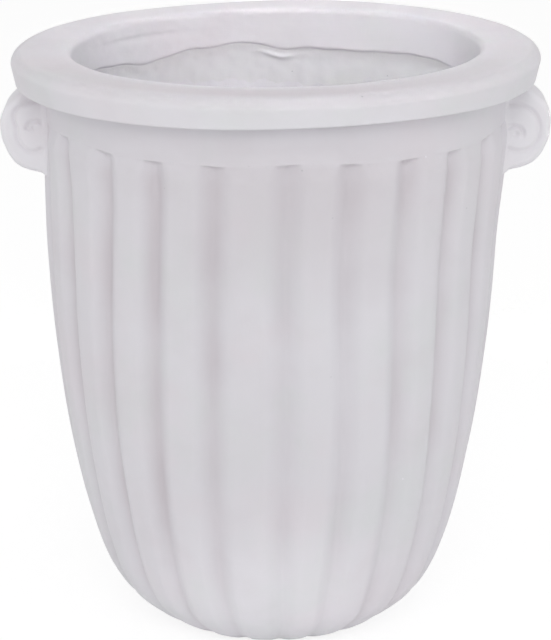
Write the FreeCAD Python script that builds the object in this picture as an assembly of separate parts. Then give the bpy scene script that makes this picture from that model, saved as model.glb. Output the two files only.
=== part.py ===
import FreeCAD, Part
import math
import os

# Overall sizes, in millimetres
overall_height = 500.0
crest_radius = 194.6
foot_radius = 80.0
joint_gap = 0.3
overrun = 20.0

# Lobes of the body: crest profile from the foot up, then the rounded shoulders under the collar
lobe_count = 24
lobe_chords = 6
valley_depth = 6.4
swell_height_shares = (0.0, 0.028, 0.066, 0.098, 0.145, 0.234, 0.4, 0.645, 1.0)
swell_radius_shares = (0.0, 0.175, 0.36, 0.472, 0.565, 0.674, 0.81, 0.923, 1.0)
shoulder_height = 12.0
shoulder_height_shares = (0.65, 0.93, 1.0)
shoulder_step_shares = (0.08, 0.6, 1.0)
shoulder_depth_shares = (0.95, 0.55, 0.0)

# Collar, hollow, floor and foot of the body
collar_step = 3.2
collar_height = 33.0
collar_wall = 12.8
wall_thickness = 17.0
hollow_sides = 72
floor_thickness = 23.0
floor_spread = 12.0
foot_recess_depth = 5.0
foot_ring_width = 16.0

# Rim ring
rim_overhang = 28.6
rim_band_height = 26.0
rim_band_taper = 5.0
rim_edge_round = 8.0
mouth_edge_bevel = 3.0
round_steps = 3
skirt_depth = 37.0
skirt_thickness = 6.0

# Bedding of the rim
rim_bed_thickness = 2.0
rim_bed_leg = 2.0
rim_bed_inset = 2.0
bead_height = 6.0
bead_setback = 1.3

# Scroll ears: sizes about the eye, with bends of the outline as shares of reach, rise and drop
scroll_reach = 25.2
scroll_rise = 43.7
scroll_drop = 36.5
scroll_root = 15.5
scroll_half_depth = 26.0
scroll_edge_bevel = 4.0
scroll_chords = 9
brow_share = 0.08
temple_out_share = 0.84
temple_up_share = 0.65
cheek_up_share = 0.18
jaw_out_share = 0.75
jaw_down_share = 0.44
chin_down_share = 0.85
landing_depth = 3.4
scroll_bed_thickness = 1.5
scroll_bed_inset = 2.0

# Spiral groove on both faces of each ear: half circles about the eye's vertical, then the eye's pit
groove_heights_shares = (0.6, -0.34, 0.2)
groove_lead_share = 0.36
groove_chords = 10
groove_width = 3.6
groove_depth = 4.0
eye_pit_radius = 3.4

# Dowels of the ears
dowel_radius = 3.0
dowel_in_body = 6.0
dowel_in_scroll = 12.5
dowel_end_gap = 0.5
dowel_rise_share = 0.5
dowel_drop_share = 0.5

# Drain hole and its plug
drain_radius = 14.0
plug_short = 2.0
plug_flange_width = 7.0
plug_flange_height = 5.0
plug_neck_radius = 5.5
plug_neck_height = 6.0
plug_knob_radius = 9.0
plug_knob_height = 6.0

# Radii worked out from the sizes above, from the collar inwards and outwards
collar_radius = crest_radius - collar_step
neck_radius = collar_radius - collar_wall
skirt_radius = neck_radius - rim_bed_leg - 2 * joint_gap
mouth_radius = skirt_radius - skirt_thickness
rim_radius = collar_radius + rim_overhang
landing_offset = collar_radius - landing_depth
scroll_back = landing_offset + scroll_bed_thickness
eye_offset = scroll_back + scroll_root

# Heights worked out from the sizes above, from the rim down and from the ground up
rim_under = overall_height - rim_band_height
skirt_foot = overall_height - skirt_depth
body_top = rim_under - rim_bed_thickness
lobe_top = body_top - collar_height
swell_top = lobe_top - shoulder_height
scroll_top = rim_under - joint_gap
eye_height = scroll_top - scroll_rise
scroll_foot = eye_height - scroll_drop
dowel_heights = (eye_height - scroll_drop * dowel_drop_share, eye_height + scroll_rise * dowel_rise_share)
floor_height = foot_recess_depth + floor_thickness

vertical = FreeCAD.Vector(0, 0, 1)
origin = FreeCAD.Vector(0, 0, 0)


def point(across, up):
    """A point of a profile in the XZ plane."""
    return FreeCAD.Vector(across, 0, up)


def arc_corners(start, middle, end, chords):
    """The corners of the arc through three points in equal chords, without the last corner."""
    return Part.Arc(start, middle, end).toShape().discretize(chords + 1)[:-1]


def loop(corners):
    """The closed wire through the corners."""
    return Part.makePolygon(corners + corners[:1])


def revolved(corners):
    """The solid of a closed profile turned round the vertical axis."""
    return Part.Face(loop(corners)).revolve(origin, vertical, 360)


def crest_points():
    """Points on the crest of a lobe, from the foot up to the shoulder."""
    return [point(foot_radius + (crest_radius - foot_radius) * out, swell_top * up)
            for up, out in zip(swell_height_shares, swell_radius_shares)]


def skinned(sections):
    """The solid of flat faces between level sections of as many corners each, closed at both ends."""
    faces = [Part.Face(loop(sections[0])), Part.Face(loop(sections[-1]))]
    for low, high in zip(sections, sections[1:]):
        for a, b, c, d in zip(low, low[1:] + low[:1], high[1:] + high[:1], high):
            faces.append(Part.Face(loop([a, b, d])))
            faces.append(Part.Face(loop([b, c, d])))
    return Part.Solid(Part.Shell(faces)).removeSplitter()


def turned(radius, share, height):
    """A point at a share of a full turn round the vertical axis."""
    angle = 2 * math.pi * share
    return FreeCAD.Vector(radius * math.cos(angle), radius * math.sin(angle), height)


def lobed_section(radius, depth, height):
    """The corners of one level section: an arc for each lobe, in short chords from valley to valley."""
    valley = radius - depth
    corners = []
    for index in range(lobe_count):
        corners += arc_corners(turned(valley, index / lobe_count, height),
                               turned(radius, (index + 0.5) / lobe_count, height),
                               turned(valley, (index + 1) / lobe_count, height), lobe_chords)
    return corners


def lobed_solid():
    """The solid inside all the lobes, with their shoulders and the plain collar on top."""
    sections = [lobed_section(crest.x, valley_depth * crest.x / crest_radius, crest.z)
                for crest in crest_points()]
    for up, step, deep in zip(shoulder_height_shares, shoulder_step_shares, shoulder_depth_shares):
        sections.append(lobed_section(crest_radius - collar_step * step, valley_depth * deep,
                                      swell_top + shoulder_height * up))
    sections.append(lobed_section(collar_radius, 0, body_top))
    return skinned(sections)


def cavity():
    """The hollow of the body, many-sided as its core was, from the floor up past the mouth."""
    wall = [point(foot_radius + floor_spread, floor_height)]
    for crest in crest_points():
        if floor_height + wall_thickness < crest.z < skirt_foot - 2 * skirt_depth:
            wall.append(point(crest.x - wall_thickness, crest.z))
    wall += [point(neck_radius, body_top - skirt_depth), point(neck_radius, body_top + overrun)]
    return skinned([[turned(level.x, index / hollow_sides, level.z) for index in range(hollow_sides)]
                    for level in wall])


def landing_notch(side):
    """The notch that makes a flat landing for the ear on one side."""
    width = 2 * (scroll_half_depth + joint_gap)
    low = scroll_foot - joint_gap
    box = Part.makeBox(overrun, width, body_top + overrun - low)
    start = landing_offset if side > 0 else -landing_offset - overrun
    box.translate(FreeCAD.Vector(start, -width / 2, low))
    return box


def dowel_cylinder(side, height, start, length, radius):
    """A cylinder along X at a dowel's height, from a distance off the axis outwards."""
    return Part.makeCylinder(radius, length, point(side * start, height), FreeCAD.Vector(side, 0, 0))


def fluted_body():
    """The lobed shell with its collar, hollow, foot, landings, dowel holes and drain hole."""
    foot = Part.makeCylinder(foot_radius - foot_ring_width, foot_recess_depth + overrun, point(0, -overrun))
    drain = Part.makeCylinder(drain_radius, floor_height + 2 * overrun, point(0, -overrun))
    cutters = [cavity(), foot, drain]
    start = landing_offset - dowel_in_body - dowel_end_gap
    length = dowel_in_body + dowel_end_gap + overrun
    for side in (1, -1):
        cutters.append(landing_notch(side))
        for height in dowel_heights:
            cutters.append(dowel_cylinder(side, height, start, length, dowel_radius + joint_gap))
    return lobed_solid().cut(cutters)


def rim_edge():
    """Points round the rim's outer edge in short chords, from its side up to its top."""
    points = []
    for index in range(round_steps + 1):
        turn = math.pi / 2 * index / round_steps
        points.append(point(rim_radius - rim_edge_round * (1 - math.cos(turn)),
                            overall_height - rim_edge_round * (1 - math.sin(turn))))
    return points


def rim_ring():
    """The coping ring: flat top, rounded outer edge, tapered band and inner skirt."""
    outline = [point(rim_radius - rim_band_taper, rim_under)] + rim_edge()
    outline += [point(mouth_radius + mouth_edge_bevel, overall_height),
                point(mouth_radius, overall_height - mouth_edge_bevel), point(mouth_radius, skirt_foot),
                point(skirt_radius, skirt_foot), point(skirt_radius, rim_under)]
    return revolved(outline)


def rim_bed():
    """The bedding under the rim and behind its skirt, with a struck bead below the skirt."""
    inner = skirt_radius + joint_gap
    outer = neck_radius - joint_gap
    ring = landing_offset - rim_bed_inset
    return revolved([point(mouth_radius + bead_setback, skirt_foot), point(inner, skirt_foot),
                     point(inner, rim_under), point(ring, rim_under), point(ring, body_top),
                     point(outer, body_top), point(outer, skirt_foot - bead_height)])


def about_eye(out, up):
    """A point of the right ear, measured from its eye."""
    return point(eye_offset + out, eye_height + up)


def scroll_outline():
    """The corners of the right ear's outline, in the XZ plane."""
    brow = point(eye_offset + scroll_reach * brow_share, scroll_top)
    temple = about_eye(scroll_reach * temple_out_share, scroll_rise * temple_up_share)
    cheek = about_eye(scroll_reach, scroll_rise * cheek_up_share)
    jaw = about_eye(scroll_reach * jaw_out_share, -scroll_drop * jaw_down_share)
    chin = about_eye(0, -scroll_drop * chin_down_share)
    corners = arc_corners(brow, temple, cheek, scroll_chords) + arc_corners(cheek, jaw, chin, scroll_chords)
    return corners + [chin, point(scroll_back, scroll_foot), point(scroll_back, scroll_top)]


def groove_side(spread):
    """The corners of one side of the spiral groove: a level lead, then a chain of half circles."""
    heights = [scroll_rise * share for share in groove_heights_shares]
    corners = [about_eye(-scroll_reach * groove_lead_share, heights[0] + spread)]
    outward = 1
    for start, end in zip(heights, heights[1:]):
        radius = outward * (abs(start - end) / 2 + spread)
        middle = (start + end) / 2
        corners += arc_corners(about_eye(0, middle + radius), about_eye(radius, middle),
                               about_eye(0, middle - radius), groove_chords)
        outward = -outward
    return corners + [about_eye(0, heights[-1] + outward * spread)]


def bevelled_scroll():
    """The right ear's outline drawn out to its depth, with the edges beyond the eye bevelled."""
    face = Part.Face(loop(scroll_outline()))
    face.translate(FreeCAD.Vector(0, -scroll_half_depth, 0))
    solid = face.extrude(FreeCAD.Vector(0, 2 * scroll_half_depth, 0))
    edges = []
    for edge in solid.Edges:
        box = edge.BoundBox
        if box.XMin > eye_offset - joint_gap and box.YLength < joint_gap:
            edges.append(edge)
    return solid.makeChamfer(scroll_edge_bevel, edges)


def right_scroll():
    """The right ear with the spiral groove and eye pit on both faces, and its dowel holes."""
    groove = groove_side(groove_width / 2) + groove_side(-groove_width / 2)[::-1]
    cutters = []
    for side in (1, -1):
        inward = FreeCAD.Vector(0, side * (scroll_half_depth - groove_depth), 0)
        outward = FreeCAD.Vector(0, side * (groove_depth + overrun), 0)
        strip = Part.Face(loop(groove))
        strip.translate(inward)
        cutters.append(strip.extrude(outward))
        cutters.append(Part.makeCylinder(eye_pit_radius, outward.Length, about_eye(0, 0) + inward, outward))
    length = dowel_in_scroll + dowel_end_gap + overrun
    for height in dowel_heights:
        cutters.append(dowel_cylinder(1, height, scroll_back - overrun, length, dowel_radius + joint_gap))
    return bevelled_scroll().cut(cutters)


def right_scroll_bed():
    """The bedding pad behind the right ear, with its dowel holes."""
    low = scroll_foot + scroll_bed_inset
    width = 2 * (scroll_half_depth - scroll_bed_inset)
    pad = Part.makeBox(scroll_bed_thickness, width, body_top - scroll_bed_inset - low)
    pad.translate(FreeCAD.Vector(landing_offset, -width / 2, low))
    holes = [dowel_cylinder(1, height, landing_offset - overrun, 2 * overrun, dowel_radius + joint_gap)
             for height in dowel_heights]
    return pad.cut(holes)


def right_dowel(height):
    """One dowel of the right ear, from the body through the pad into the ear."""
    length = dowel_in_body + scroll_bed_thickness + dowel_in_scroll
    return dowel_cylinder(1, height, landing_offset - dowel_in_body, length, dowel_radius)


def drain_plug():
    """The plug: shank in the hole, flange on the floor, neck and knob above."""
    shank = drain_radius - joint_gap
    shank_foot = foot_recess_depth + plug_short
    flange = drain_radius + plug_flange_width
    flange_top = floor_height + plug_flange_height
    neck_top = flange_top + plug_neck_height
    knob_top = neck_top + plug_knob_height
    return revolved([point(0, shank_foot), point(shank, shank_foot), point(shank, floor_height),
                     point(flange, floor_height), point(flange, flange_top),
                     point(plug_neck_radius, flange_top), point(plug_neck_radius, neck_top),
                     point(plug_knob_radius, neck_top), point(plug_knob_radius, knob_top),
                     point(0, knob_top)])


def mirrored(shape):
    """The left-hand copy of a right-hand piece."""
    return shape.mirror(origin, FreeCAD.Vector(1, 0, 0))


scroll = right_scroll()
scroll_bed = right_scroll_bed()
lower_dowel = right_dowel(dowel_heights[0])
upper_dowel = right_dowel(dowel_heights[1])

nodes = {
    "fluted_body": fluted_body(),
    "rim_ring": rim_ring(),
    "rim_bed": rim_bed(),
    "left_scroll": mirrored(scroll),
    "right_scroll": scroll,
    "left_scroll_bed": mirrored(scroll_bed),
    "right_scroll_bed": scroll_bed,
    "left_dowel_lower": mirrored(lower_dowel),
    "left_dowel_upper": mirrored(upper_dowel),
    "right_dowel_lower": lower_dowel,
    "right_dowel_upper": upper_dowel,
    "drain_plug": drain_plug(),
}

# One file for each piece
os.makedirs("parts", exist_ok=True)
for name, shape in nodes.items():
    shape.exportStep(os.path.join("parts", name + ".step"))
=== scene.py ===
"""A tall cast-stone flower pot with lobed sides, a rim, scroll ears and a drain plug, in a white studio."""

import logging
import math
from dataclasses import dataclass
from enum import Enum

import bmesh
import bpy
import numpy as np
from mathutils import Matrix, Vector, noise


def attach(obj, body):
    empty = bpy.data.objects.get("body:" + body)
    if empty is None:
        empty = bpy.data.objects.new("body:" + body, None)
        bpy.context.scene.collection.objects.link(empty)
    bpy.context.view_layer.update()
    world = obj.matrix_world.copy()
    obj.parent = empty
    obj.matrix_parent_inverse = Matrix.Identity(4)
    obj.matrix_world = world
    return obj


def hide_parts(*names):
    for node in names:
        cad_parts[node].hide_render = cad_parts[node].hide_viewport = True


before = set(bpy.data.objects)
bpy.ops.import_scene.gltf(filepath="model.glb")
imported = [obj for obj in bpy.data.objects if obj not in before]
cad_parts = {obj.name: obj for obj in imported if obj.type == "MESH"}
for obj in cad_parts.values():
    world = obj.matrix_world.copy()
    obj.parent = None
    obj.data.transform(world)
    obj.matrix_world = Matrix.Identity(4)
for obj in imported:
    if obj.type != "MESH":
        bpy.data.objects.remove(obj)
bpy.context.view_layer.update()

MM = 0.001
TURN = 2 * math.pi
# The mesh attribute that holds each point's share of painted shade: darkening where shade falls, and on the
# bedding's foot a tone match to the stone.
PAINTED_SHADE = "wash"
Array = np.ndarray
Colour = tuple[float, float, float, float]
log = logging.getLogger("flower_pot")


class Slot(Enum):
    """The record's material slots, passed along with each new piece."""

    CAST_STONE = "cast_stone"
    BEDDING = "bedding"
    RUBBER = "rubber"


class Rider(Enum):
    """The bodies that pieces ride on."""

    POT = "pot"
    PLUG = "plug"


class Side(Enum):
    """The pot's two ears, by the direction that they stand out along X."""

    LEFT = -1
    RIGHT = 1


class Socket(Enum):
    """What a node group takes and gives."""

    COLOUR = "NodeSocketColor"
    VALUE = "NodeSocketFloat"


def ramp(low: float, high: float, value: Array) -> Array:
    """Eases from 0 to 1 between two limits.

    Args:
        low: where the ease starts.
        high: where it ends.
        value: the places to ease.

    Returns:
        The eased shares, from 0 to 1.
    """
    share = np.clip((value - low) / (high - low), 0, 1)
    return share * share * (3 - 2 * share)


def bell(value: Array, middle: float, spread: float) -> Array:
    """A smooth bump, 1 at its middle and fading over its spread to both sides."""
    return np.exp(-((value - middle) / spread) ** 2)


def signed(angle: Array) -> Array:
    """Brings angles in radians to between -pi and pi."""
    return np.mod(angle + np.pi, TURN) - np.pi


def from_front(angle: Array) -> Array:
    """Degrees aside from the front, positive to the right."""
    return np.degrees(signed(angle))


def from_back(angle: Array) -> Array:
    """Degrees aside from the back, positive to the right."""
    return np.degrees(signed(np.pi - angle))


def once_round(columns: int) -> Array:
    """Even angles once round the axis, from the front."""
    return np.arange(columns) * TURN / columns


def stepped(stops: tuple, counts: tuple) -> Array:
    """Places from stop to stop, evenly spaced within each stretch.

    Args:
        stops: where the stretches start and end.
        counts: how many steps each stretch has.

    Returns:
        The places, with the last stop at the end.
    """
    stretches = zip(stops, stops[1:], counts)
    runs = [np.linspace(low, high, count, endpoint=False) for low, high, count in stretches]
    return np.concatenate(runs + [stops[-1:]])


def stacked(rows: list, angle: Array) -> Array:
    """Rows of one value, or of one per angle, as an array."""
    return np.stack([np.broadcast_to(row, angle.shape) for row in rows])


def flowing(knots: Array, values: Array, at: Array) -> Array:
    """A smooth curve through points, which never swings past them.

    Args:
        knots: rising places of the points.
        values: the points' values.
        at: the places to read.

    Returns:
        The curve's values there.
    """
    step = np.diff(knots)
    slope = np.diff(values) / step
    same_way = slope[1:] * slope[:-1] > 0
    total = np.where(same_way, slope[1:] + slope[:-1], 1.0)
    between = np.where(same_way, 2 * slope[1:] * slope[:-1] / total, 0)
    tangent = np.concatenate([slope[:1], between, slope[-1:]])
    index = np.clip(np.searchsorted(knots, at) - 1, 0, len(step) - 1)
    share = np.clip((at - knots[index]) / step[index], 0, 1)
    bend = share * share * (3 - 2 * share)
    lead = share * (1 - share) ** 2 * step[index]
    trail = share * share * (share - 1) * step[index]
    return (values[index] * (1 - bend) + values[index + 1] * bend
            + lead * tangent[index] + trail * tangent[index + 1])


def arc(centre: tuple[float, float], radius: float, start_deg: float, end_deg: float,
        steps: int) -> list[tuple[float, float]]:
    """Points round an arc of a profile, as (radius, height) pairs.

    Args:
        centre: the arc's centre.
        radius: the arc's radius.
        start_deg: the first angle, from straight out towards straight up.
        end_deg: the last angle.
        steps: how many chords.

    Returns:
        The points in order.
    """
    angles = np.radians(np.linspace(start_deg, end_deg, steps + 1))
    return [(centre[0] + radius * math.cos(a), centre[1] + radius * math.sin(a)) for a in angles]


def round_axis(radius: Array, angle: Array, height: Array) -> Array:
    """Points round the pot's axis.

    Args:
        radius: distances from the axis.
        angle: turns from the front towards the right, in radians.
        height: heights above the ground.

    Returns:
        The points, with X, Y and Z on the last axis.
    """
    radius, angle, height = np.broadcast_arrays(radius, angle, height)
    return np.stack([radius * np.sin(angle), -radius * np.cos(angle), height], axis=-1)


def linked(name: str, data: bpy.types.ID) -> bpy.types.Object:
    """Makes an object in the scene.

    Args:
        name: the object's name.
        data: its mesh, lamp or camera.

    Returns:
        The new object.
    """
    item = bpy.data.objects.new(name, data)
    bpy.context.scene.collection.objects.link(item)
    return item


def skinned(name: str, rows: Array, poles: bool) -> bpy.types.Object:
    """Makes a smooth closed mesh from rows of points that each run once round.

    Args:
        name: the piece's name.
        rows: points by row and column.
        poles: whether the first and last row close to a point; if not, the last row joins the first.

    Returns:
        The new object, linked to the scene.
    """
    count, columns = rows.shape[:2]
    index = np.arange(count * columns).reshape(count, columns)
    beside = np.roll(index, -1, axis=1)
    above = index[1:] if poles else np.roll(index, -1, axis=0)
    beside_above = np.roll(above, -1, axis=1)
    low, low_beside = (index[:-1], beside[:-1]) if poles else (index, beside)
    faces = np.stack([low, low_beside, beside_above, above], axis=-1).reshape(-1, 4).tolist()
    points = rows.reshape(-1, 3).tolist()
    if poles:
        for row, flip in ((0, False), (count - 1, True)):
            points.append(rows[row].mean(axis=0).tolist())
            tip = len(points) - 1
            for a, b in zip(index[row].tolist(), beside[row].tolist()):
                faces.append([tip, a, b] if flip else [tip, b, a])
    mesh = bpy.data.meshes.new(name)
    mesh.from_pydata(points, [], faces)
    work = bmesh.new()
    work.from_mesh(mesh)
    bmesh.ops.recalc_face_normals(work, faces=work.faces)
    work.to_mesh(mesh)
    work.free()
    mesh.polygons.foreach_set("use_smooth", [True] * len(mesh.polygons))
    return linked(name, mesh)


def paint_shade(piece: bpy.types.Object, wash: Array) -> None:
    """Stores each point's share of painted shade on a piece's mesh."""
    piece.data.attributes.new(PAINTED_SHADE, "FLOAT", "POINT").data.foreach_set("value", wash.ravel())


@dataclass(frozen=True)
class Lumps:
    """Irregular lumps of two sizes, as a hand-pressed surface has."""

    height: float
    size: float
    seed: float
    small_share: float = 0.45
    small_ratio: float = 2.7

    def at(self, radius: Array, angle: Array, height: Array) -> Array:
        """The lumps round the pot's axis.

        Args:
            radius: distances from the axis.
            angle: turns from the front, in radians.
            height: heights above the ground.

        Returns:
            Offsets in metres.
        """
        points = round_axis(radius, angle, height)
        offset = Vector((self.seed, 2 * self.seed, 3 * self.seed))
        total = []
        for place in (points.reshape(-1, 3) / self.size).tolist():
            spot = Vector(place) + offset
            total.append(noise.noise(spot) + self.small_share * noise.noise(spot * self.small_ratio))
        return self.height * np.array(total).reshape(points.shape[:-1])


@dataclass(frozen=True)
class HandWork:
    """The slight waviness of a shape finished by hand."""

    amount: float
    waves: int = 9
    seed: int = 1
    turns: tuple = (2, 14)
    rises: tuple = (4, 22)

    def at(self, angle: Array, height: Array) -> Array:
        """The waviness round and up the pot.

        Args:
            angle: turns round the axis, in radians.
            height: heights above the ground.

        Returns:
            Offsets in metres.
        """
        draw = np.random.default_rng(self.seed)
        total = np.zeros(np.broadcast(angle, height).shape)
        for _ in range(self.waves):
            around = draw.integers(*self.turns)
            up = draw.uniform(*self.rises)
            phase, lift = draw.uniform(0, TURN, 2)
            total += np.sin(around * angle + phase) * np.cos(up * height + lift)
        return self.amount * total / math.sqrt(self.waves)


@dataclass(frozen=True)
class Bump:
    """A soft bump or patch, with its middle and spread in the unit that it is read at."""

    height: float
    middle: float
    spread: float

    def at(self, value: Array) -> Array:
        """The bump's height at each value."""
        return self.height * bell(value, self.middle, self.spread)


@dataclass
class FlutedBody:
    """The lobed shell with its collar, hollow, foot and drain hole."""

    foot_radius: float = 81.2 * MM
    crest_radius: float = 194.6 * MM
    swell_height: float = 427.0 * MM
    height_shares: tuple = (0.0, 0.014, 0.033, 0.083, 0.165, 0.295, 0.47, 0.67, 0.85, 1.0)
    radius_shares: tuple = (0.0, 0.118, 0.232, 0.438, 0.594, 0.732, 0.85, 0.931, 0.969, 1.0)
    lobe_count: int = 24
    columns_per_lobe: int = 22
    front_valley_turns_deg: tuple = (-0.7, -0.2, -0.2, 0.3, 3.4, 3.0, 3.2, 2.8, 2.8)
    turn_spread_deg: float = 0.6
    turn_seed: int = 11
    drift_deg: float = 0.35
    fan_deg: float = 8.0
    fan_height: float = 400.0 * MM
    fan_end_deg: tuple = (78, 112)
    left_fan_deg: float = 3.6
    left_fan_span: tuple = (320 * MM, 445 * MM)
    left_fan_start_deg: tuple = (-38, -66)
    left_fan_end_deg: tuple = (-120, -95)
    valley_depth: float = 8.8 * MM
    valley_softness: float = 0.08
    valley_unevenness: float = 0.06
    crown_power: float = 2.2
    trough_share: float = 0.75
    trough_width: float = 0.66
    slow_wave: float = 210.0 * MM
    quick_wave: float = 97.0 * MM
    wave_seed: int = 23
    lobe_top: float = 439.0 * MM
    top_wander: tuple = (1.2 * MM, 0.8 * MM)
    shoulder_height: float = 14.0 * MM
    shoulder_overlap: float = 2.0 * MM
    scoop_height: float = 3.0 * MM
    scoop_depth: float = 1.0 * MM
    tuck_start: float = 18.0 * MM
    tuck_length: float = 13.0 * MM
    collar_radius: float = 191.4 * MM
    body_top: float = 472.0 * MM
    neck_radius: float = 178.6 * MM
    neck_foot: float = 435.0 * MM
    floor_height: float = 28.0 * MM
    drain_radius: float = 14.0 * MM
    foot_outline_mm: tuple = ((14, 6.5), (14.4, 5.4), (15.4, 5), (40, 5), (61.5, 5), (63.2, 4.3), (64, 2.6),
                              (64, 1), (64.5, 0.25), (65.6, 0))
    foot_edge: float = 1.2 * MM
    foot_zone: float = 40.0 * MM
    first_row: float = 0.4 * MM
    last_row: float = 0.5 * MM
    row_margin: float = 3.0 * MM
    outer_steps: tuple = (24, 66, 28, 9)
    collar_edge: float = 1.0 * MM
    mouth_edge: float = 0.8 * MM
    bead_zone: tuple = (460 * MM, 360 * MM)
    inner_steps: tuple = (4, 34, 45)
    drain_edge_mm: tuple = ((0.3, 0.4), (0, 1.4))
    floor_radii_mm: tuple = (86, 78, 66, 52, 38, 26, 20, 15.2)
    hollow_heights_mm: tuple = (28, 36, 62, 100, 171, 275, 435)
    hollow_radii_mm: tuple = (92, 106, 128, 140, 156, 169, 178.6)
    inside_lumps: Lumps = Lumps(2.4 * MM, size=26 * MM, seed=5.3)
    floor_calm: float = 0.25
    rough_top: tuple = (452 * MM, 460 * MM)
    rough_floor: tuple = (20 * MM, 60 * MM)
    lean: float = -1.4 * MM
    lean_span: tuple = (10 * MM, 70 * MM)
    collar_shift: float = 2.0 * MM
    shift_span: tuple = (330 * MM, 425 * MM)
    upright_core: tuple = (58 * MM, 76 * MM)
    landing: float = 188.0 * MM
    landing_half_width: float = 24.5 * MM
    landing_foot: float = 396.0 * MM
    # Painted shade along the valleys, stronger on some sides, on the collar under the rim and on the flanks,
    # where shade falls; the front and belly darkening darken the upper front and a band round the belly.
    shade_bearings_deg: tuple = (-180, -90, -56, -30, -10, 10, 30, 56, 90, 180)
    valley_shades: tuple = (0.42, 0.46, 0.64, 0.86, 0.5, 0.16, 0.48, 0.54, 0.44, 0.42)
    valley_shade_span: tuple = (60 * MM, 200 * MM)
    uneven_shade: float = 0.14
    shade_end: tuple = (-2 * MM, 1 * MM)
    scoop_clearing: float = 0.8
    scoop_span: tuple = (-22 * MM, -4 * MM)
    front_darkening: Bump = Bump(0.64, 0.1, 0.74)
    front_darkening_span: tuple = (290 * MM, 420 * MM)
    belly_darkening: Bump = Bump(0.17, 0, 0.4)
    belly_band: Bump = Bump(1, 195 * MM, 60 * MM)
    collar_shade: Bump = Bump(0.46, 0, 0.9)
    collar_fade: float = 0.75
    collar_shade_span: tuple = (453 * MM, 466 * MM)
    flank_shade: float = 0.12
    flank_sides: tuple = (0.45, 0.95)
    flank_shade_span: tuple = (150 * MM, 300 * MM)
    wave: HandWork = HandWork(0.45 * MM, seed=4)

    def angles(self) -> Array:
        """The columns' angles from the front."""
        return once_round(self.lobe_count * self.columns_per_lobe)

    def crest(self, height: Array) -> Array:
        """The lobes' crest radius.

        Args:
            height: heights above the ground.

        Returns:
            The radii.
        """
        knots = np.array(self.height_shares) * self.swell_height
        values = self.foot_radius + np.array(self.radius_shares) * (self.crest_radius - self.foot_radius)
        return flowing(knots, values, np.minimum(height, self.swell_height))

    def valleys(self) -> Array:
        """Sets each valley a little off its regular place.

        Returns:
            The valleys' angles from the front.
        """
        front = self.front_valley_turns_deg
        half = len(front) // 2
        draw = np.random.default_rng(self.turn_seed)
        turns = np.linspace(front[-1], front[0], self.lobe_count - 2 * half + 1)
        turns = np.concatenate([front[half:-1], turns, front[1:half]])
        turns[half + 1:-half] += draw.normal(0, self.turn_spread_deg, self.lobe_count - 2 * half - 1)
        return np.arange(self.lobe_count) * TURN / self.lobe_count + np.radians(turns)

    def nearest_valley(self, angle: Array, height: Array) -> tuple[Array, Array]:
        """Which valley each place is nearest to.

        Args:
            angle: turns from the front, in radians.
            height: heights above the ground.

        Returns:
            The valleys' numbers, and how far off each place is, from 0 at a valley's middle to 1 on a crest.
        """
        aside = from_front(angle)
        far_left = ramp(*self.left_fan_start_deg, aside) * ramp(*self.left_fan_end_deg, aside)
        front = 1 - ramp(*self.fan_end_deg, np.abs(aside))
        drift = self.drift_deg * np.sin(19 * height + 3 * angle)
        drift = drift - self.fan_deg * np.clip(1 - height / self.fan_height, 0, 1) * np.sin(angle) * front
        drift = drift + self.left_fan_deg * far_left * ramp(*self.left_fan_span, height)
        marks = self.valleys()
        marks = np.concatenate([marks[-1:] - TURN, marks, marks[:1] + TURN])
        half_pitch = TURN / (2 * self.lobe_count)
        place = np.mod(angle + np.radians(drift) + half_pitch, TURN) - half_pitch
        index = np.clip(np.searchsorted(marks, place) - 1, 0, len(marks) - 2)
        share = (place - marks[index]) / (marks[index + 1] - marks[index])
        return np.mod(index - 1 + (share > 0.5), self.lobe_count), 1 - np.abs(2 * share - 1)

    def unevenness(self, nearest: Array, height: Array) -> Array:
        """How a hand-cut valley deepens and fades along its length.

        Args:
            nearest: the valleys' numbers.
            height: heights above the ground.

        Returns:
            Values of about -1 to 1.
        """
        phases = np.random.default_rng(self.wave_seed).uniform(0, TURN, (2, self.lobe_count))
        slow = np.sin(TURN * height / self.slow_wave + phases[0][nearest])
        quick = np.sin(TURN * height / self.quick_wave + phases[1][nearest])
        return 0.6 * slow + 0.4 * quick

    def valley(self, angle: Array, height: Array) -> Array:
        """How far into a valley each place is.

        Args:
            angle: turns from the front, in radians.
            height: heights above the ground.

        Returns:
            Shares from 0 on a crest to about 1 at a valley's bottom.
        """
        nearest, away = self.nearest_valley(angle, height)
        soft = np.sqrt(away * away + self.valley_softness ** 2) - self.valley_softness
        crown = (1 - soft) ** self.crown_power
        trough = 0.5 * (1 + np.cos(np.pi * np.clip(away / self.trough_width, 0, 1)))
        uneven = 1 + self.valley_unevenness * self.unevenness(nearest, height)
        return ((1 - self.trough_share) * crown + self.trough_share * trough) * uneven

    def outer(self, angle: Array, height: Array) -> Array:
        """The outer radius of lobes, shoulders and collar.

        Args:
            angle: turns from the front, in radians.
            height: heights above the ground.

        Returns:
            The radii.
        """
        valley = self.valley(angle, height)
        crest = self.crest(height)
        lobed = crest - self.valley_depth * crest / self.crest_radius * valley
        slow, quick = self.top_wander
        rise = height - (self.lobe_top + slow * np.sin(5 * angle + 1) + quick * np.sin(11 * angle))
        shoulder = ramp(0, 1, (rise + self.shoulder_height) / (self.shoulder_height + self.shoulder_overlap))
        share = np.clip((rise + self.scoop_height) / self.scoop_height, 0, 1)
        ledge = 1 - np.sqrt(1 - share * share)
        blend = shoulder + (ledge - shoulder) * np.sqrt(valley)
        tucked = ramp(0, 1, (rise + self.tuck_start) / self.tuck_length)
        tuck = self.scoop_depth * valley ** 3 * tucked * (1 - ledge)
        return lobed - tuck + (self.collar_radius - lobed) * blend + self.wave.at(angle, height)

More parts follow.
